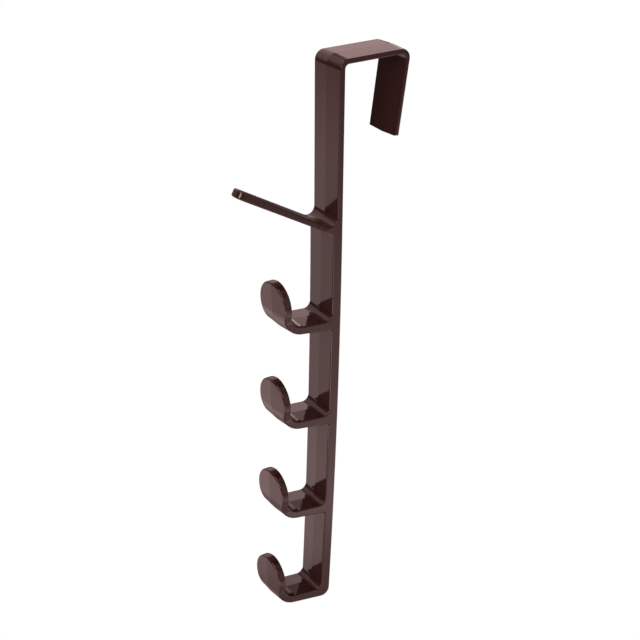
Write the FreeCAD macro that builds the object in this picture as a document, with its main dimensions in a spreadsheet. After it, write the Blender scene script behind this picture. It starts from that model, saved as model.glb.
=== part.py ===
import FreeCAD, Part
import math
import os

import Sketcher

# Over door hook rack, injection moulded in one piece.
# X runs across the strap, -Y towards the room, +Y towards the door, Z up.
# The origin is the middle of the bridge's underside, which sits on the door's top edge.
# The outlines are drawn from the upper strap's rear face, so the body stands half the
# door gap in front of them. The mould parts on the plane X = 0: one half is modelled
# and then mirrored.

os.makedirs("parts", exist_ok=True)

doc = FreeCAD.newDocument("door_hook_rack")

# Driving dimensions, in millimetres and degrees
drivingSizes = [
    ("doorGap", 43.0, "clear width between strap and back leg at the top of the door"),
    ("wallThickness", 3.7, "bridge and back leg, at the parting line"),
    ("upperThickness", 4.4, "upper strap, at the parting line"),
    ("bendRadius", 6.5, "outside of the two bends over the door"),
    ("legLength", 49.5, "back leg, below the bridge underside"),
    ("legLean", 7.9, "back leg, leaning in towards the strap"),
    ("upperLength", 102.0, "thin straight strap, from the bridge underside to the step"),
    ("strapThickness", 7.1, "lower strap, at the parting line"),
    ("bowRadius", 5700.0, "lower strap, bowing gently forward"),
    ("footRound", 6.0, "rear corner where the strap turns into the lowest hook"),
    ("railWidth", 26.8, "strap width at the bridge underside"),
    ("sideTaper", 0.27, "each side of the strap, drawing in downwards"),
    ("edgeRound", 0.9, "rounding along both sides"),
    ("mouldDraft", 2.5, "walls leaning in from the parting plane, apart from those on the door"),
    ("pegSeat", 1.55, "peg underside below the step, at the strap's front"),
    ("pegAngle", 28.75, "peg, rising outwards"),
    ("pegLength", 69.4, "peg underside, from the strap's front to the tip"),
    ("pegRootThickness", 4.0, "peg where it enters the strap"),
    ("pegTipThickness", 5.1, "peg at its tip"),
    ("pegRootWidth", 24.0, "peg where its straight sides would reach the strap's front"),
    ("pegTipWidth", 11.0, "peg where its tip begins to round"),
    ("pegFlare", 14.0, "curve where the peg's sides widen into the strap"),
    ("pegRootFillet", 4.5, "hollow above the peg's root"),
    ("pegUnderFillet", 1.2, "hollow below the peg's root"),
    ("hookDrop", 167.6, "bridge underside to the first hook's heel"),
    ("hookPitch", 65.9, "one hook's heel to the next"),
    ("hookRise", 6.8, "hook's shelf, rising outwards"),
    ("hookReach", 41.1, "strap's rear face to the sharp corner under the hook's bend"),
    ("rootThickness", 7.2, "hook's shelf where it enters the strap"),
    ("armThickness", 5.9, "hook's bend and upright"),
    ("bendInside", 9.7, "inside of the hook's bend"),
    ("uprightLean", 3.6, "hook's upright, leaning outwards"),
    ("uprightLength", 32.3, "hook's upright, from the sharp corner to the tip"),
    ("hookRootFillet", 4.0, "hollow above each hook's root"),
    ("hookUnderFillet", 1.2, "hollow below each hook's root"),
    ("paddleWidth", 29.4, "round paddle at the top of each hook"),
    ("paddleBlend", 14.0, "curve from the paddle into its arm's side"),
    ("tipTrim", 0.2, "arm's or peg's end taken off by its rounding"),
    ("pegTipRound", 4.6, "corners of the peg's tip, seen from above"),
]
hookCount = 4

# How near two measures of the finished shape have to be to count as one, in millimetres
samePlace = 0.01
sameSize = 0.1
sameTurn = 0.05
# A face counts as part of the side from this many degrees outwards
sideFacing = 12

# Values worked out from the driving dimensions
workedSizes = [
    ("insideRadius", "sizes.bendRadius - sizes.wallThickness"),
    ("halfWidth", "sizes.railWidth / 2"),
    ("slabWidth", "max(sizes.railWidth; sizes.paddleWidth) / 2"),
    ("frontRadius", "sizes.bowRadius - sizes.strapThickness"),
    ("firstTurn", "(sizes.hookDrop - sizes.upperLength) / sizes.bowRadius * 180 / pi"),
    ("pitchTurn", "sizes.hookPitch / sizes.bowRadius * 180 / pi"),
    ("footTurn", "firstTurn + " + str(hookCount - 1) + " * pitchTurn"),
    ("footTilt", "footTurn + sizes.hookRise"),
    ("footSpan", "sizes.bowRadius * cos(sizes.hookRise)"),
    ("footRun", "footSpan - sqrt(footSpan ^ 2 - sizes.bowRadius ^ 2 + frontRadius ^ 2)"),
    ("bendOutside", "sizes.bendInside + sizes.armThickness"),
    ("offsetShare", "sizes.armThickness / (1 + sin(sizes.hookRise + sizes.uprightLean))"),
]


def fillSheet(name, rows, lead):
    """A sheet with a name, a value and a note on each row."""
    sheet = doc.addObject("Spreadsheet::Sheet", name)
    for number, row in enumerate(rows, start=1):
        sheet.set("A" + str(number), row[0])
        sheet.set("B" + str(number), lead + str(row[1]))
        sheet.set("C" + str(number), row[2] if len(row) > 2 else "")
        sheet.setAlias("B" + str(number), row[0])
    doc.recompute()
    return sheet


sizes = fillSheet("sizes", drivingSizes, "")
worked = fillSheet("worked", workedSizes, "=")

# The side view of the strip, as a plain slab on one side of the parting plane
body = doc.addObject("PartDesign::Body", "sideView")
body.Label = "side_view"


def originPlane(role):
    return [feature for feature in body.Origin.OriginFeatures if feature.Role == role][0]


def addFeature(kind, name):
    return body.newObject("PartDesign::" + kind, name)


def finishFeature(feature, bound=None):
    """Bind the feature's sizes, make it the tip and recompute it."""
    for prop, expression in (bound or {}).items():
        feature.setExpression(prop, expression)
    body.Tip = feature
    doc.recompute()
    if "Invalid" in feature.State or "Error" in feature.State or feature.Shape.isNull():
        raise RuntimeError(feature.Name + " failed: " + str(feature.State))
    return feature


def newSketch(name, across="0", up="0", turn="0"):
    """A sketch on the parting plane, moved and turned within it."""
    sketch = body.newObject("Sketcher::SketchObject", name)
    sketch.AttachmentSupport = [(originPlane("YZ_Plane"), "")]
    sketch.MapMode = "FlatFace"
    about = FreeCAD.Rotation(FreeCAD.Vector(0, 0, 1), 1)
    sketch.AttachmentOffset = FreeCAD.Placement(FreeCAD.Vector(), about)
    sketch.setExpression("AttachmentOffset.Base.x", across)
    sketch.setExpression("AttachmentOffset.Base.y", up)
    sketch.setExpression("AttachmentOffset.Rotation.Angle", turn)
    doc.recompute()
    return sketch


def valueOf(expression):
    value = body.evalExpression(expression)
    return float(getattr(value, "Value", value))


def bind(sketch, constraint, expression):
    number = sketch.addConstraint(constraint)
    sketch.setExpression("Constraints[" + str(number) + "]", expression)


def arcBetween(centre, start, finish):
    """The shorter arc about a centre, and which of its ends is the start."""
    first = math.atan2(start.y - centre.y, start.x - centre.x)
    last = math.atan2(finish.y - centre.y, finish.x - centre.x)
    ring = Part.Circle(centre, FreeCAD.Vector(0, 0, 1), (start - centre).Length)
    if (last - first) % (2 * math.pi) < math.pi:
        return Part.ArcOfCircle(ring, first, last), (1, 2)
    return Part.ArcOfCircle(ring, last, first), (2, 1)


def drawOutline(sketch, corners, bows=()):
    """A closed outline through sharp corners (across, up, rounding).

    Each corner is a construction point bound to the sizes, and a rounding is an arc
    tangent to both sides. A bow (side, radius) makes that side an arc which is centred
    on the left, level with its upper end.
    """
    bowed = dict(bows)
    count = len(corners)
    points = [FreeCAD.Vector(valueOf(across), valueOf(up), 0) for across, up, rounding in corners]
    marks = []
    cuts = []
    for index, (across, up, rounding) in enumerate(corners):
        here = points[index]
        mark = sketch.addGeometry(Part.Point(here), True)
        marks.append(mark)
        bind(sketch, Sketcher.Constraint("DistanceX", -1, 1, mark, 1, here.x), across)
        bind(sketch, Sketcher.Constraint("DistanceY", -1, 1, mark, 1, here.y), up)
        if rounding is None:
            cuts.append((here, here))
            continue
        back = (points[index - 1] - here).normalize()
        ahead = (points[(index + 1) % count] - here).normalize()
        setback = valueOf(rounding) / math.tan(back.getAngle(ahead) / 2)
        cuts.append((here + back * setback, here + ahead * setback))
    sides = []
    for index in range(count):
        start = cuts[index][1]
        finish = cuts[(index + 1) % count][0]
        if index in bowed:
            radius = valueOf(bowed[index])
            higher = start if start.y > finish.y else finish
            arc, ends = arcBetween(higher - FreeCAD.Vector(radius, 0, 0), start, finish)
            side = sketch.addGeometry(arc)
            bind(sketch, Sketcher.Constraint("Radius", side, radius), bowed[index])
            sides.append((side, ends))
        else:
            sides.append((sketch.addGeometry(Part.LineSegment(start, finish)), (1, 2)))
    for index, (across, up, rounding) in enumerate(corners):
        before, beforeEnds = sides[index - 1]
        after, afterEnds = sides[index]
        mark = marks[index]
        if rounding is None:
            sketch.addConstraint(Sketcher.Constraint("Coincident", before, beforeEnds[1], mark, 1))
            sketch.addConstraint(Sketcher.Constraint("Coincident", after, afterEnds[0], mark, 1))
            continue
        start, finish = cuts[index]
        middle = (start + finish) / 2 - points[index]
        size = valueOf(rounding)
        reach = math.hypot(size, (start - points[index]).Length)
        arc, ends = arcBetween(points[index] + middle.normalize() * reach, start, finish)
        corner = sketch.addGeometry(arc)
        sketch.addConstraint(Sketcher.Constraint("PointOnObject", mark, 1, before))
        sketch.addConstraint(Sketcher.Constraint("PointOnObject", mark, 1, after))
        sketch.addConstraint(Sketcher.Constraint("Tangent", before, beforeEnds[1], corner, ends[0]))
        sketch.addConstraint(Sketcher.Constraint("Tangent", corner, ends[1], after, afterEnds[0]))
        bind(sketch, Sketcher.Constraint("Radius", corner, size), rounding)
    doc.recompute()
    return sketch


def padHalf(name, sketch):
    pad = addFeature("Pad", name)
    pad.Profile = sketch
    return finishFeature(pad, {"Length": "worked.slabWidth"})


# Rail: back leg, bridge, straight upper strap and bowed lower strap in one outline
legTipY = "sizes.doorGap - sizes.legLength * tan(sizes.legLean)"
footRearY = "-sizes.bowRadius * (1 - cos(worked.footTurn))"
footRearZ = "-sizes.upperLength - sizes.bowRadius * sin(worked.footTurn)"
railCorners = [
    ("0", "0", "worked.insideRadius"),
    ("sizes.doorGap", "0", "worked.insideRadius"),
    (legTipY, "-sizes.legLength", None),
    (
        legTipY + " + sizes.wallThickness * cos(sizes.legLean)",
        "-sizes.legLength - sizes.wallThickness * sin(sizes.legLean)",
        None,
    ),
    (
        "sizes.doorGap + sizes.wallThickness * (1 + sin(sizes.legLean)) / cos(sizes.legLean)",
        "sizes.wallThickness",
        "sizes.bendRadius",
    ),
    ("-sizes.upperThickness", "sizes.wallThickness", "sizes.bendRadius"),
    ("-sizes.upperThickness", "-sizes.upperLength", None),
    ("-sizes.strapThickness", "-sizes.upperLength", None),
    (
        footRearY + " - worked.footRun * cos(worked.footTilt)",
        footRearZ + " + worked.footRun * sin(worked.footTilt)",
        None,
    ),
    (footRearY, footRearZ, None),
    ("0", "-sizes.upperLength", None),
]
railSketch = drawOutline(
    newSketch("RailOutline"),
    railCorners,
    [(7, "worked.frontRadius"), (9, "sizes.bowRadius")],
)
rail = padHalf("Rail", railSketch)

# Peg: a flat bar that rises outwards, drawn along its own underside
pegRootIn = "sizes.strapThickness / 2"
pegTipCorners = [("-sizes.pegLength", "sizes.pegTipThickness"), ("-sizes.pegLength", "0")]
pegSketch = drawOutline(
    newSketch(
        "PegOutline",
        "-sizes.strapThickness",
        "-sizes.upperLength - sizes.pegSeat",
        "-sizes.pegAngle",
    ),
    [
        (pegRootIn, "0", None),
        (pegRootIn, "sizes.pegRootThickness", None),
        pegTipCorners[0] + (None,),
        pegTipCorners[1] + (None,),
    ],
)
peg = padHalf("Peg", pegSketch)

# Hook: shelf, bend and upright, drawn square to the strap from the heel on its rear face
hookRootIn = "-sizes.strapThickness / 2"
heelUp = "sizes.strapThickness / 2 * tan(sizes.hookRise)"
bendUp = "sizes.hookReach * tan(sizes.hookRise)"
tipOut = "-sizes.hookReach - sizes.uprightLength * sin(sizes.uprightLean)"
tipUp = bendUp + " + sizes.uprightLength * cos(sizes.uprightLean)"
hookTipCorners = [
    (
        tipOut + " + sizes.armThickness * cos(sizes.uprightLean)",
        tipUp + " + sizes.armThickness * sin(sizes.uprightLean)",
    ),
    (tipOut, tipUp),
]
hookSketch = drawOutline(
    newSketch(
        "HookOutline",
        "-sizes.bowRadius * (1 - cos(worked.firstTurn))",
        "-sizes.upperLength - sizes.bowRadius * sin(worked.firstTurn)",
        "-worked.firstTurn",
    ),
    [
        (hookRootIn, heelUp, None),
        (hookRootIn, heelUp + " + sizes.rootThickness / cos(sizes.hookRise)", None),
        (
            "-sizes.hookReach + worked.offsetShare * (sin(sizes.hookRise) + cos(sizes.uprightLean))",
            bendUp + " + worked.offsetShare * (cos(sizes.hookRise) + sin(sizes.uprightLean))",
            "sizes.bendInside",
        ),
        hookTipCorners[0] + (None,),
        hookTipCorners[1] + (None,),
        ("-sizes.hookReach", bendUp, "worked.bendOutside"),
    ],
)
hook = padHalf("Hook", hookSketch)

# Row of hooks, turned about the centre of the strap's bow
bowCentre = newSketch("BowCentre", "-sizes.bowRadius", "-sizes.upperLength")
hookRow = addFeature("PolarPattern", "HookRow")
hookRow.Originals = [hook]
hookRow.Axis = (bowCentre, ["N_Axis"])
hookRow.Reversed = True
hookRow.Mode = "Spacing"
hookRow.Occurrences = hookCount
finishFeature(hookRow, {"Offset": "worked.pitchTurn"})


def acrossEdges(shape):
    """Edges that run from the parting plane to the side: number, and Y and Z where they part."""
    found = []
    for number, edge in enumerate(shape.Edges, start=1):
        ends = sorted([vertex.Point for vertex in edge.Vertexes], key=lambda point: point.x)
        if len(ends) == 2 and ends[0].x < samePlace and ends[1].x > valueOf("worked.halfWidth") / 2:
            found.append((number, ends[0].y, ends[0].z))
    return found


def filletEdges(name, base, numbers, radius):
    fillet = addFeature("Fillet", name)
    fillet.Base = (base, ["Edge" + str(number) for number in numbers])
    return finishFeature(fillet, {"Radius": radius})


def filletAcross(name, base, places, radius):
    """Round the edges that leave the parting plane at places (number, Y, Z)."""
    numbers = []
    for number, y, z in acrossEdges(base.Shape):
        if any(math.hypot(y - place[1], z - place[2]) < samePlace for place in places):
            numbers.append(number)
    return filletEdges(name, base, numbers, radius)


def onLowerFront(place):
    """Whether a place of the section lies on the front of the bowed lower strap."""
    across = place[1] + valueOf("sizes.bowRadius")
    up = place[2] + valueOf("sizes.upperLength")
    return abs(math.hypot(across, up) - valueOf("worked.frontRadius")) < samePlace


# Hollows where the arms leave the strap, above and below, and the foot's rear corner
corners = sorted(acrossEdges(hookRow.Shape), key=lambda place: -place[2])
lowerFront = [place for place in corners if onLowerFront(place)]
upperFrontY = -valueOf("sizes.upperThickness")
upperFront = [place for place in corners if abs(place[1] - upperFrontY) < samePlace]
softened = [
    ("HookHollows", lowerFront[1::2], "sizes.hookRootFillet"),
    ("PegHollow", upperFront[-1:], "sizes.pegRootFillet"),
    ("UnderPeg", lowerFront[:1], "sizes.pegUnderFillet"),
    ("UnderHooks", lowerFront[2::2], "sizes.hookUnderFillet"),
    ("FootCorner", corners[-1:], "sizes.footRound"),
]
half = hookRow
for name, places, radius in softened:
    half = filletAcross(name, half, places, radius)

# Mould draft: each wall of the slab leans in from the parting plane, so that a flat wall
# becomes a tilted plane and a rounding a cone. The walls that lie on the door stay square.
def inPlane(point):
    return FreeCAD.Vector(0, point.y, point.z)


def partingOutline(shape):
    """The slab's edges on the parting plane as (start, finish, edge), with the solid on the left."""
    flat = [face for face in shape.Faces if face.BoundBox.XMax < samePlace][0]
    steps = []
    for edge in flat.OuterWire.OrderedEdges:
        ends = [inPlane(edge.firstVertex(True).Point), inPlane(edge.lastVertex(True).Point)]
        steps.append((ends[0], ends[1], edge))
    area = sum(start.y * finish.z - finish.y * start.z for start, finish, edge in steps)
    if area < 0:
        steps = [(finish, start, edge) for start, finish, edge in reversed(steps)]
    return steps


def isArc(edge):
    return hasattr(edge.Curve, "Radius")


def inward(step, place):
    """The unit normal into the solid at one end of an outline step."""
    start, finish, edge = step
    if not isArc(edge):
        along = (finish - start).normalize()
        return FreeCAD.Vector(0, -along.z, along.y)
    spoke = (inPlane(edge.Curve.Center) - place).normalize()
    across = FreeCAD.Vector(0, -(finish - start).z, (finish - start).y)
    return spoke if spoke.dot(across) > 0 else spoke * -1


def walksBesideDoor(steps, foot):
    """How many steps after the foot's corner lie on the door: up to the back leg's end."""
    legEnd = FreeCAD.Vector(0, valueOf(legTipY), -valueOf("sizes.legLength"))
    for count in range(len(steps)):
        if (steps[(foot + 1 + count) % len(steps)][1] - legEnd).Length < samePlace:
            return count + 1
    raise RuntimeError("the back leg's end isn't on the outline")


def footStep(steps):
    """The number of the step that rounds the foot's rear corner."""
    wanted = valueOf("sizes.footRound")
    arcs = [n for n, step in enumerate(steps) if isArc(step[2])]
    alike = [n for n in arcs if abs(steps[n][2].Curve.Radius - wanted) < samePlace]
    return min(alike, key=lambda n: steps[n][0].z)


def leanedPlace(steps, leans, number):
    """Where the end of a step lands when its wall and the next one have leaned in."""
    after = (number + 1) % len(steps)
    place = steps[number][1]
    first = inward(steps[number], place)
    second = inward(steps[after], place)
    cross = first.y * second.z - first.z * second.y
    if abs(cross) < math.sin(math.radians(sameTurn)):
        return place + first * min(leans[number], leans[after])
    y = (leans[number] * second.z - leans[after] * first.z) / cross
    z = (leans[after] * first.y - leans[number] * second.y) / cross
    return place + FreeCAD.Vector(0, y, z)


def coneWall(centre, start, finish, farStart):
    """The wall of a rounding: one of its straight rulings turned about the centre."""
    first = start - centre
    last = finish - centre
    turn = math.degrees(math.atan2(first.cross(last).x, first.dot(last)))
    ruling = Part.LineSegment(start, farStart).toShape()
    return ruling.revolve(centre, FreeCAD.Vector(1, 0, 0), turn)


def arcThrough(centre, start, finish):
    """The shorter arc about a centre, from start to finish, across the X direction."""
    middle = ((start - centre) + (finish - centre)).normalize() * (start - centre).Length + centre
    return Part.Arc(start, middle, finish).toShape()


def draftedHalf(shape, width, lean):
    """The slab with its walls leaning in, as far as the given half width."""
    steps = partingOutline(shape)
    inset = width * math.tan(math.radians(lean))
    foot = footStep(steps)
    beside = [(foot + 1 + n) % len(steps) for n in range(walksBesideDoor(steps, foot))]
    leans = [0.0 if n in beside else inset for n in range(len(steps))]
    side = FreeCAD.Vector(width, 0, 0)
    far = [leanedPlace(steps, leans, n) + side for n in range(len(steps))]
    # the foot's corner keeps its upper end and meets the leaning wall below it
    start, finish, edge = steps[foot]
    below = inward(steps[foot], start)
    above = inward(steps[foot], finish)
    footRadius = edge.Curve.Radius - inset / (1 - below.dot(above))
    footCentre = finish + above * footRadius + side
    far[foot] = finish + side
    far[foot - 1] = footCentre - below * footRadius
    walls = []
    nearEdges = []
    farEdges = []
    for n, (start, finish, edge) in enumerate(steps):
        if not isArc(edge):
            walls.append(Part.Face(Part.makePolygon([start, finish, far[n], far[n - 1], start])))
            nearEdges.append(Part.LineSegment(start, finish).toShape())
            farEdges.append(Part.LineSegment(far[n - 1], far[n]).toShape())
            continue
        centre = inPlane(edge.Curve.Center)
        farCentre = footCentre if n == foot else centre + side
        nearEdges.append(arcThrough(centre, start, finish))
        farEdges.append(arcThrough(farCentre, far[n - 1], far[n]))
        if n == foot:
            walls.append(Part.makeRuledSurface(nearEdges[-1], farEdges[-1]))
        else:
            walls.append(coneWall(centre, start, finish, far[n - 1]))
    shell = Part.makeShell(walls + [Part.Face(Part.Wire(nearEdges)), Part.Face(Part.Wire(farEdges))])
    shell.sewShape()
    solid = Part.Solid(shell)
    if solid.Volume < 0:
        solid.reverse()
    return solid


moulded = doc.addObject("Part::Feature", "draftedSlab")
moulded.Label = "drafted_slab"
moulded.Shape = draftedHalf(half.Shape, valueOf("worked.slabWidth"), valueOf("sizes.mouldDraft"))
if not moulded.Shape.isValid() or len(moulded.Shape.Solids) != 1:
    raise RuntimeError("the drafted slab isn't one sound solid")


# The strip itself: the drafted slab cut to its outlines from the front and along the peg
body = doc.addObject("PartDesign::Body", "hookRack")
body.Label = "door_hook_rack"
body.BaseFeature = moulded
body.setExpression("Placement.Base.y", "-sizes.doorGap / 2")
doc.recompute()


def cutFrom(name, sketch, bound=None, **settings):
    """A pocket that has to take something away."""
    before = body.Shape.Volume
    pocket = addFeature("Pocket", name)
    pocket.Profile = sketch
    for prop, value in settings.items():
        setattr(pocket, prop, value)
    finishFeature(pocket, bound)
    if pocket.Shape.Volume > before - sameSize:
        raise RuntimeError(name + " removes nothing")
    return pocket


def turnedSketch(name, role, tilt, across, forward):
    """A sketch on an origin plane, tilted about X and then moved by two expressions."""
    sketch = body.newObject("Sketcher::SketchObject", name)
    sketch.AttachmentSupport = [(originPlane(role), "")]
    sketch.MapMode = "FlatFace"
    about = FreeCAD.Rotation(FreeCAD.Vector(1, 0, 0), 1)
    sketch.AttachmentOffset = FreeCAD.Placement(FreeCAD.Vector(), about)
    sketch.setExpression("AttachmentOffset.Base.y", across)
    sketch.setExpression("AttachmentOffset.Base.z", forward)
    sketch.setExpression("AttachmentOffset.Rotation.Angle", tilt)
    doc.recompute()
    return sketch


# The strap's side, drawing in towards the foot, as far out as the hooks' bends
sideFoot = "(-(" + footRearZ + ") + sizes.rootThickness)"
sideIn = "(worked.halfWidth - " + sideFoot + " * tan(sizes.sideTaper))"
splitOut = "(sizes.hookReach - worked.bendOutside + sizes.armThickness / 2)"
sideLine = turnedSketch("SideLine", "XZ_Plane", "0", "0", splitOut)
drawOutline(
    sideLine,
    [
        ("worked.halfWidth + sizes.bendRadius * tan(sizes.sideTaper)", "sizes.bendRadius", None),
        (sideIn, "-" + sideFoot, None),
        ("sizes.railWidth", "-" + sideFoot, None),
        ("sizes.railWidth", "sizes.bendRadius", None),
    ],
)
cutFrom("SideCut", sideLine, Type="ThroughAll")


# The hooks' arms keep that side, and each ends in a round paddle
def drawPaddle(sketch, number):
    """The waste beside one hook: outside its paddle, the blend below it and the arm's side."""
    turn = "(worked.firstTurn + " + str(number) + " * worked.pitchTurn)"
    up = "(" + tipUp + ") * cos(" + turn + ")"
    out = "(sizes.bowRadius + " + tipOut + ") * sin(" + turn + ")"
    tip = "(" + up + " - " + out + " - sizes.upperLength - sizes.tipTrim)"
    radius = valueOf("sizes.paddleWidth") / 2
    blend = valueOf("sizes.paddleBlend")
    taper = math.radians(valueOf("sizes.sideTaper"))
    top = valueOf(tip)
    middle = FreeCAD.Vector(0, top - radius, 0)
    outer = valueOf("sizes.railWidth")
    low = top - valueOf("sizes.uprightLength") - valueOf("worked.bendOutside")

    def sideAt(z):
        return valueOf("worked.halfWidth") + z * math.tan(taper)

    # the blend's centre lies off the side and off the paddle by its radius
    across = sideAt(middle.y) + blend / math.cos(taper)
    reach = radius + blend
    drop = math.sqrt(reach ** 2 - across ** 2)
    centre = FreeCAD.Vector(sideAt(middle.y - drop) + blend / math.cos(taper), middle.y - drop, 0)
    joint = middle + (centre - middle).normalize() * radius
    foot = FreeCAD.Vector(sideAt(centre.y), centre.y, 0)
    crown = middle + FreeCAD.Vector(0, radius, 0)
    lid = crown + FreeCAD.Vector(0, blend, 0)
    disc, discEnds = arcBetween(middle, crown, joint)
    curve, curveEnds = arcBetween(centre, joint, foot)
    lowIn = FreeCAD.Vector(sideAt(low), low, 0)
    lowOut = FreeCAD.Vector(outer, low, 0)
    lidOut = FreeCAD.Vector(outer, lid.y, 0)
    first = sketch.addGeometry(disc)
    second = sketch.addGeometry(curve)
    lines = [(foot, lowIn), (lowIn, lowOut), (lowOut, lidOut), (lidOut, lid), (lid, crown)]
    numbers = [sketch.addGeometry(Part.LineSegment(*ends)) for ends in lines]
    sketch.addConstraint(Sketcher.Constraint("Block", numbers[0]))
    sketch.addConstraint(Sketcher.Constraint("Tangent", first, discEnds[1], second, curveEnds[0]))
    sketch.addConstraint(Sketcher.Constraint("Coincident", second, curveEnds[1], numbers[0], 1))
    for before, after in zip(numbers, numbers[1:]):
        sketch.addConstraint(Sketcher.Constraint("Coincident", before, 2, after, 1))
    sketch.addConstraint(Sketcher.Constraint("Coincident", numbers[-1], 2, first, discEnds[0]))
    bind(sketch, Sketcher.Constraint("Radius", first, radius), "sizes.paddleWidth / 2")
    sketch.addConstraint(Sketcher.Constraint("PointOnObject", first, 3, -2))
    bind(sketch, Sketcher.Constraint("DistanceY", -1, 1, numbers[-1], 2, top), tip)
    doc.recompute()


paddleSides = turnedSketch("PaddleSides", "XZ_Plane", "0", "0", "sizes.hookReach - worked.bendOutside")
for number in range(hookCount):
    drawPaddle(paddleSides, number)
cutFrom("PaddleCut", paddleSides, Type="ThroughAll", Reversed=True)

# The peg's outline from above: a rounded tip, straight sides and a flare into the strap
pegPlan = turnedSketch(
    "PegPlan",
    "XY_Plane",
    "-sizes.pegAngle",
    "-sizes.strapThickness",
    "-sizes.upperLength - sizes.pegSeat",
)
drawOutline(
    pegPlan,
    [
        ("sizes.railWidth + sizes.pegFlare", "0", None),
        ("sizes.pegRootWidth / 2", "0", "sizes.pegFlare"),
        ("sizes.pegTipWidth / 2", "-sizes.pegLength + sizes.tipTrim", "sizes.pegTipRound"),
        ("-sizes.pegTipRound", "-sizes.pegLength + sizes.tipTrim", None),
        ("-sizes.pegTipRound", "-sizes.pegLength - sizes.pegTipRound", None),
        ("sizes.railWidth + sizes.pegFlare", "-sizes.pegLength - sizes.pegTipRound", None),
    ],
)
cutFrom("PegCut", pegPlan, {"Length": "4 * sizes.pegTipThickness"}, Midplane=True)
half = body.Tip


# The rim all round, rounded as the mould leaves it

def turnAcross(edge, faces):
    """Cosine of the angle between two faces at the middle of the edge they share."""
    place = edge.valueAt((edge.FirstParameter + edge.LastParameter) / 2)
    one, other = (face.normalAt(*face.Surface.parameter(place)) for face in faces)
    return one.dot(other)


def rimEdges(shape):
    """The edges around the side face and the rounded tips: the faces turned outwards."""
    rim = []
    for face in shape.Faces:
        outward = face.normalAt(*face.Surface.parameter(face.CenterOfMass))
        if outward.x > math.sin(math.radians(sideFacing)):
            rim.append(face)
    numbers = []
    for number, edge in enumerate(shape.Edges, start=1):
        owners = [face for face in rim if any(edge.isSame(other) for other in face.Edges)]
        if len(owners) != 1 or edge.BoundBox.XMax < samePlace:
            continue
        meeting = [face for face in shape.Faces if any(edge.isSame(other) for other in face.Edges)]
        if turnAcross(edge, meeting) < math.cos(math.radians(sideFacing)):
            numbers.append(number)
    return numbers


half = filletEdges("EdgeRound", half, rimEdges(half.Shape), "sizes.edgeRound")

# The other half of the mould
both = addFeature("Mirrored", "BothHalves")
both.TransformMode = "Whole shape"
both.MirrorPlane = (originPlane("YZ_Plane"), [""])
finishFeature(both)

for thing in doc.Objects:
    if "Invalid" in thing.State or "Error" in thing.State:
        raise RuntimeError(thing.Name + " is in error")
shape = body.Shape
if shape.isNull() or not shape.isValid() or len(shape.Solids) != 1:
    raise RuntimeError(body.Label + " is not one sound solid")
shape.exportStep("parts/" + body.Label + ".step")
print(body.Label, round(shape.Volume / 1000, 2), "cm3", len(shape.Faces), "faces", shape.BoundBox)
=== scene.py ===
import math

import bpy
from mathutils import Matrix, Vector


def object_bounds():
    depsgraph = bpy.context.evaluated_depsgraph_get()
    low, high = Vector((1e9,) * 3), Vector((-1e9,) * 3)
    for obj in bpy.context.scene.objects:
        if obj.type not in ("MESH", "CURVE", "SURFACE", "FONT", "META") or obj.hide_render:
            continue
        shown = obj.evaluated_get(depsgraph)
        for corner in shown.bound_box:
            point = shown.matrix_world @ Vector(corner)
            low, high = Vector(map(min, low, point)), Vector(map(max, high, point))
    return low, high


# Over door hook rack in gloss brown plastic, seen from its hook side and a little above.
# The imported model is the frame: X across the strip, -Y into the room, Z up, metres.

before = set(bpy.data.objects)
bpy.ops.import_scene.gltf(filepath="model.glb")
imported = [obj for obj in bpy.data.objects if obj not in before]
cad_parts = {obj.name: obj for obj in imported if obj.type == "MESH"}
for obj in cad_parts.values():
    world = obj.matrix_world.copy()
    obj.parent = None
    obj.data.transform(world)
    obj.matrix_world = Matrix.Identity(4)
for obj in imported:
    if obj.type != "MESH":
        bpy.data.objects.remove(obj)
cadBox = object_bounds()
mm = 0.001

print("frame loaded:", ", ".join(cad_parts))


def hexToLinear(code):
    # sRGB hex to scene linear: the low end is a straight line, the rest a 2.4 power
    out = []
    for start in (0, 2, 4):
        value = int(code.lstrip("#")[start:start + 2], 16) / 255
        out.append(value / 12.92 if value <= 0.04045 else ((value + 0.055) / 1.055) ** 2.4)
    return (*out, 1.0)


def addNode(tree, kind, inputs=None, links=None, **settings):
    # one node, its settings, its fixed inputs and the sockets that feed it
    node = tree.nodes.new(kind)
    for key, value in settings.items():
        setattr(node, key, value)
    for key, value in (inputs or {}).items():
        node.inputs[key].default_value = value
    for key, socket in (links or {}).items():
        tree.links.new(socket, node.inputs[key])
    return node


def emptyMaterial(name):
    material = bpy.data.materials.new(name)
    material.use_nodes = True
    material.node_tree.nodes.clear()
    return material


# Camera

camera = {
    "target": (0.0, -21.5, -170.0),    # mm, half way down the face that lies on the door
    "azimuth": 55.53,                  # degrees, from -Y towards +X
    "elevation": 26.12,
    "roll": 0.67,
    "distance": 936.14,                # mm
    "focalPixels": 1502.79,            # at 640 pixels across
    "centreAcross": 329.64,            # where the view's axis meets the photo
    "centreDown": 325.64,
    "photoPixels": 640,
    "sensor": 36.0,
}


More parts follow.
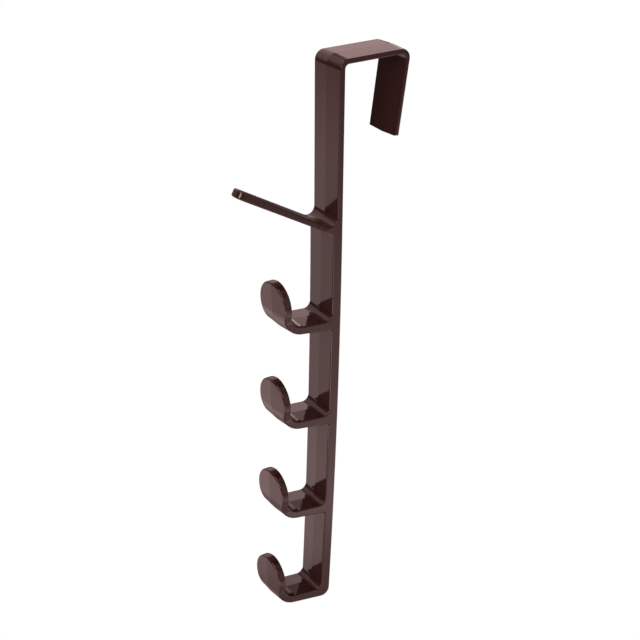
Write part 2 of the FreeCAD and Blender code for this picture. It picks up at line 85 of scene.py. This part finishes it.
def placeCamera(c):
    # the eye stands back from the target along azimuth and elevation, then rolls
    turn, rise, roll = (math.radians(c[key]) for key in ("azimuth", "elevation", "roll"))
    back = Vector((math.sin(turn) * math.cos(rise), -math.cos(turn) * math.cos(rise), math.sin(rise)))
    right = Vector((0, 0, 1)).cross(back).normalized()
    up = back.cross(right)
    rolledRight = right * math.cos(roll) + up * math.sin(roll)
    rolledUp = up * math.cos(roll) - right * math.sin(roll)
    data = bpy.data.cameras.new("photoCamera")
    obj = bpy.data.objects.new("photoCamera", data)
    bpy.context.scene.collection.objects.link(obj)
    obj.matrix_world = Matrix.Translation((Vector(c["target"]) + back * c["distance"]) * mm) @ Matrix(
        (rolledRight, rolledUp, back)
    ).transposed().to_4x4()
    data.sensor_width = c["sensor"]
    data.lens = c["focalPixels"] / c["photoPixels"] * c["sensor"]
    half = c["photoPixels"] / 2
    data.shift_x = (half - c["centreAcross"]) / c["photoPixels"]
    data.shift_y = (c["centreDown"] - half) / c["photoPixels"]
    data.clip_end = 20    # metres, past the floor's far edge
    bpy.context.scene.camera = obj
    return obj


placeCamera(camera)
print("camera placed")


# Plastic

plastic = {
    "colour": "#311c19",
    "roughness": 0.1,
    "roughSpread": (0.8, 1.25),    # shares of the roughness, between the ripple's low and high places
    "ior": 1.5,
    "rippleSize": (5.0, 90.0, 200.0),    # mm, slow waves drawn out along the strip
    "rippleDepth": 0.035,    # mm
}


def makePlastic(p):
    # gloss injection-moulded ABS: an even deep colour under a clear sharp sheen that
    # wavers a little where the faces sank in cooling
    material = emptyMaterial("glossMouldedAbs")
    tree = material.node_tree
    coords = addNode(tree, "ShaderNodeTexCoord")
    drawn = addNode(
        tree, "ShaderNodeVectorMath", {1: [1 / (size * mm) for size in p["rippleSize"]]},
        {0: coords.outputs["Object"]}, operation="MULTIPLY",
    )
    ripple = addNode(
        tree, "ShaderNodeTexNoise", {"Scale": 1.0, "Detail": 1.0, "Roughness": 0.4},
        {"Vector": drawn.outputs["Vector"]},
    )
    wave = addNode(
        tree, "ShaderNodeBump",
        {"Strength": 1.0, "Distance": p["rippleDepth"] * mm},
        {"Height": ripple.outputs["Fac"]},
    )
    smoothest, dullest = (p["roughness"] * share for share in p["roughSpread"])
    rough = addNode(
        tree, "ShaderNodeMapRange", {"To Min": smoothest, "To Max": dullest},
        {"Value": ripple.outputs["Fac"]},
    )
    shader = addNode(
        tree, "ShaderNodeBsdfPrincipled",
        {"Base Color": hexToLinear(p["colour"]), "IOR": p["ior"]},
        {"Roughness": rough.outputs["Result"], "Normal": wave.outputs["Normal"]},
    )
    out = addNode(tree, "ShaderNodeOutputMaterial")
    tree.links.new(shader.outputs["BSDF"], out.inputs["Surface"])
    return material


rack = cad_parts["door_hook_rack"]
rackPlastic = makePlastic(plastic)
rack.data.materials.clear()
rack.data.materials.append(rackPlastic)
print("plastic on", rack.name)


# Floor and surroundings

studio = {
    "floorDrop": 260.0,          # mm under the rack's foot
    "floorSize": 6000.0,         # mm
    "floorColour": "#f4f4f4",
    "floorWhite": 1.05,          # the floor's own light, as the camera sees it
    "whiteShare": 0.92,          # how much of that light there is over the paint
    "roomColour": (1.0, 0.685, 0.67),    # warm light off the room's walls
    "floorTint": (1.0, 0.725, 0.72),     # and off the floor
    "roomLight": 0.09,           # far walls, in shade
    "floorLight": 1.3,           # the floor in reflections
    # how the painted glow falls off, a painted pool of light with painted shade close to the rack: metres
    # from the rack, share of floorLight
    "floorPool": (
        (0.0, 0.3), (0.38, 0.35), (0.5, 0.92), (0.66, 0.95), (0.8, 0.76), (1.6, 0.68), (2.8, 0.05),
    ),
}

# Painted shade and painted pools of light on the floor's glow, as the plastic mirrors them: metres across
# and back from the rack, reach and fade in metres, and their light as a share of the floor's
patches = {
    "shadeBehind": {"across": -1.1, "back": 0.8, "reach": 1.0, "fade": 0.6, "light": 0.12},
    "shadeLeft": {"across": -0.55, "back": 0.15, "reach": 0.42, "fade": 0.3, "light": 0.35},
    "shadeRight": {"across": 1.6, "back": 1.1, "reach": 0.95, "fade": 0.5, "light": 0.7},
    # a painted pool of light on the floor's glow, to the rack's right
    "paintedPoolRight": {"across": 0.3, "back": 0.22, "reach": 0.3, "fade": 0.22, "light": 1.5},
    # a painted pool of light on the floor's glow, in front of the rack
    "paintedPoolInFront": {"across": 0.6, "back": -0.75, "reach": 0.35, "fade": 0.15, "light": 4.5},
}

# Brighter parts of the surroundings, as the plastic mirrors them: degrees from -Y towards +X,
# degrees up, how far each reaches and fades as chords of a unit sphere, and how flat it is
panels = {
    "wallBehind": {"turn": -117.0, "rise": 18.0, "reach": 0.74, "fade": 0.5, "flat": 2.0, "light": 1.0},
    "lowWindow": {"turn": -132.0, "rise": 8.0, "reach": 0.11, "fade": 0.07, "flat": 1.3, "light": 1.7},
    "wallLeft": {"turn": -76.0, "rise": 28.0, "reach": 0.56, "fade": 0.3, "flat": 0.8, "light": 0.85},
    "wallLamp": {"turn": -127.0, "rise": 20.0, "reach": 0.1, "fade": 0.07, "flat": 1.0, "light": 0.3},
    "wallRight": {"turn": 110.0, "rise": 8.0, "reach": 0.9, "fade": 0.6, "flat": 1.0, "light": 0.56},
    "softBox": {"turn": 25.0, "rise": 24.0, "reach": 0.26, "fade": 0.06, "flat": 1.0, "light": 7.5},
    "lampAbove": {"turn": 20.0, "rise": 62.0, "reach": 0.28, "fade": 0.08, "flat": 1.0, "light": 5.0},
    "ceiling": {"turn": 0.0, "rise": 90.0, "reach": 0.9, "fade": 0.4, "flat": 1.0, "light": 0.3},
}


def patchLight(tree, place, light, patch):
    # the floor's painted glow, dimmed by painted shade or raised by a painted pool of light where the
    # patch lies
    centre = (patch["across"], patch["back"], 0)
    offset = addNode(tree, "ShaderNodeVectorMath", {1: centre}, {0: place}, operation="SUBTRACT")
    away = addNode(tree, "ShaderNodeVectorMath", None, {0: offset.outputs["Vector"]}, operation="LENGTH")
    near = addNode(
        tree, "ShaderNodeMapRange",
        {
            "From Min": patch["reach"], "From Max": patch["reach"] - patch["fade"],
            "To Min": 1.0, "To Max": patch["light"],
        },
        {"Value": away.outputs["Value"]}, interpolation_type="SMOOTHSTEP",
    )
    return addNode(
        tree, "ShaderNodeMath", None, {0: light, 1: near.outputs["Result"]}, operation="MULTIPLY",
    ).outputs["Value"]


def makeFloor(s, patches):
    # matt white paint to the eye, with the rack's soft shadow, and where the plastic mirrors it a warm
    # painted glow that stands for light off the room, with painted pools of light and painted shade
    half = s["floorSize"] * mm / 2
    height = cadBox[0][2] - s["floorDrop"] * mm
    corners = [(x * half, y * half, height) for x, y in ((-1, -1), (1, -1), (1, 1), (-1, 1))]
    mesh = bpy.data.meshes.new("studioFloor")
    mesh.from_pydata(corners, [], [(0, 1, 2, 3)])
    floor = bpy.data.objects.new("studioFloor", mesh)
    bpy.context.scene.collection.objects.link(floor)
    material = emptyMaterial("paintedFloor")
    tree = material.node_tree
    shader = addNode(
        tree, "ShaderNodeBsdfPrincipled",
        {"Base Color": hexToLinear(s["floorColour"]), "Roughness": 0.8, "Specular IOR Level": 0.0},
    )
    white = addNode(tree, "ShaderNodeEmission", {"Color": (1, 1, 1, 1), "Strength": s["floorWhite"]})
    coords = addNode(tree, "ShaderNodeTexCoord")
    ground = addNode(
        tree, "ShaderNodeVectorMath", {1: (1, 1, 0)}, {0: coords.outputs["Object"]}, operation="MULTIPLY",
    ).outputs["Vector"]
    away = addNode(tree, "ShaderNodeVectorMath", None, {0: ground}, operation="LENGTH")
    reach = s["floorPool"][-1][0]
    share = addNode(tree, "ShaderNodeMath", {1: reach}, {0: away.outputs["Value"]}, operation="DIVIDE")
    # painted pool of light on the floor's glow, with painted shade near the rack
    pool = addNode(tree, "ShaderNodeValToRGB", None, {"Fac": share.outputs["Value"]})
    for number, (place, light) in enumerate(s["floorPool"]):
        stops = pool.color_ramp.elements
        stop = stops[number] if number < 2 else stops.new(place / reach)
        stop.position = place / reach
        stop.color = (light, light, light, 1)
    strength = addNode(
        tree, "ShaderNodeMath", {1: s["floorLight"]}, {0: pool.outputs["Color"]}, operation="MULTIPLY",
    ).outputs["Value"]
    for patch in patches.values():
        strength = patchLight(tree, ground, strength, patch)
    # the floor's painted glow, seen only in reflections
    paintedGlow = addNode(
        tree, "ShaderNodeEmission", {"Color": (*s["floorTint"], 1)}, {"Strength": strength},
    )
    path = addNode(tree, "ShaderNodeLightPath")
    seen = addNode(
        tree, "ShaderNodeMixShader", {0: s["whiteShare"]},
        {1: shader.outputs["BSDF"], 2: white.outputs["Emission"]},
    )
    mix = addNode(
        tree, "ShaderNodeMixShader", None,
        {0: path.outputs["Is Camera Ray"], 1: paintedGlow.outputs["Emission"], 2: seen.outputs["Shader"]},
    )
    out = addNode(tree, "ShaderNodeOutputMaterial")
    tree.links.new(mix.outputs["Shader"], out.inputs["Surface"])
    mesh.materials.append(material)


def addPanel(tree, looking, panel):
    # the light of one panel in the direction that is looked in
    turn, rise = math.radians(panel["turn"]), math.radians(panel["rise"])
    axis = (math.sin(turn) * math.cos(rise), -math.cos(turn) * math.cos(rise), math.sin(rise))
    offset = addNode(tree, "ShaderNodeVectorMath", {1: axis}, {0: looking}, operation="SUBTRACT")
    shaped = addNode(
        tree, "ShaderNodeVectorMath", {1: (1, 1, panel["flat"])},
        {0: offset.outputs["Vector"]}, operation="MULTIPLY",
    )
    away = addNode(tree, "ShaderNodeVectorMath", None, {0: shaped.outputs["Vector"]}, operation="LENGTH")
    return addNode(
        tree, "ShaderNodeMapRange",
        {
            "From Min": panel["reach"], "From Max": panel["reach"] - panel["fade"],
            "To Min": 0.0, "To Max": panel["light"],
        },
        {"Value": away.outputs["Value"]}, interpolation_type="SMOOTHSTEP",
    )


def makeWorld(s, panels):
    # a shaded room with brighter panels, seen in the plastic but white to the eye
    world = bpy.data.worlds.new("studioRoom")
    world.use_nodes = True
    tree = world.node_tree
    tree.nodes.clear()
    coords = addNode(tree, "ShaderNodeTexCoord")
    level = addNode(tree, "ShaderNodeValue")
    level.outputs[0].default_value = s["roomLight"]
    total = level.outputs[0]
    for panel in panels.values():
        light = addPanel(tree, coords.outputs["Generated"], panel)
        total = addNode(
            tree, "ShaderNodeMath", None, {0: total, 1: light.outputs["Result"]}, operation="ADD",
        ).outputs["Value"]
    room = addNode(tree, "ShaderNodeBackground", {"Color": (*s["roomColour"], 1)}, {"Strength": total})
    plain = addNode(tree, "ShaderNodeBackground", {"Color": (1, 1, 1, 1), "Strength": 1.0})
    path = addNode(tree, "ShaderNodeLightPath")
    mix = addNode(
        tree, "ShaderNodeMixShader", None,
        {0: path.outputs["Is Camera Ray"], 1: room.outputs["Background"], 2: plain.outputs["Background"]},
    )
    out = addNode(tree, "ShaderNodeOutputWorld")
    tree.links.new(mix.outputs["Shader"], out.inputs["Surface"])
    bpy.context.scene.world = world


makeFloor(studio, patches)
makeWorld(studio, panels)
bpy.context.scene.view_settings.view_transform = "Standard"
print("studio lit")
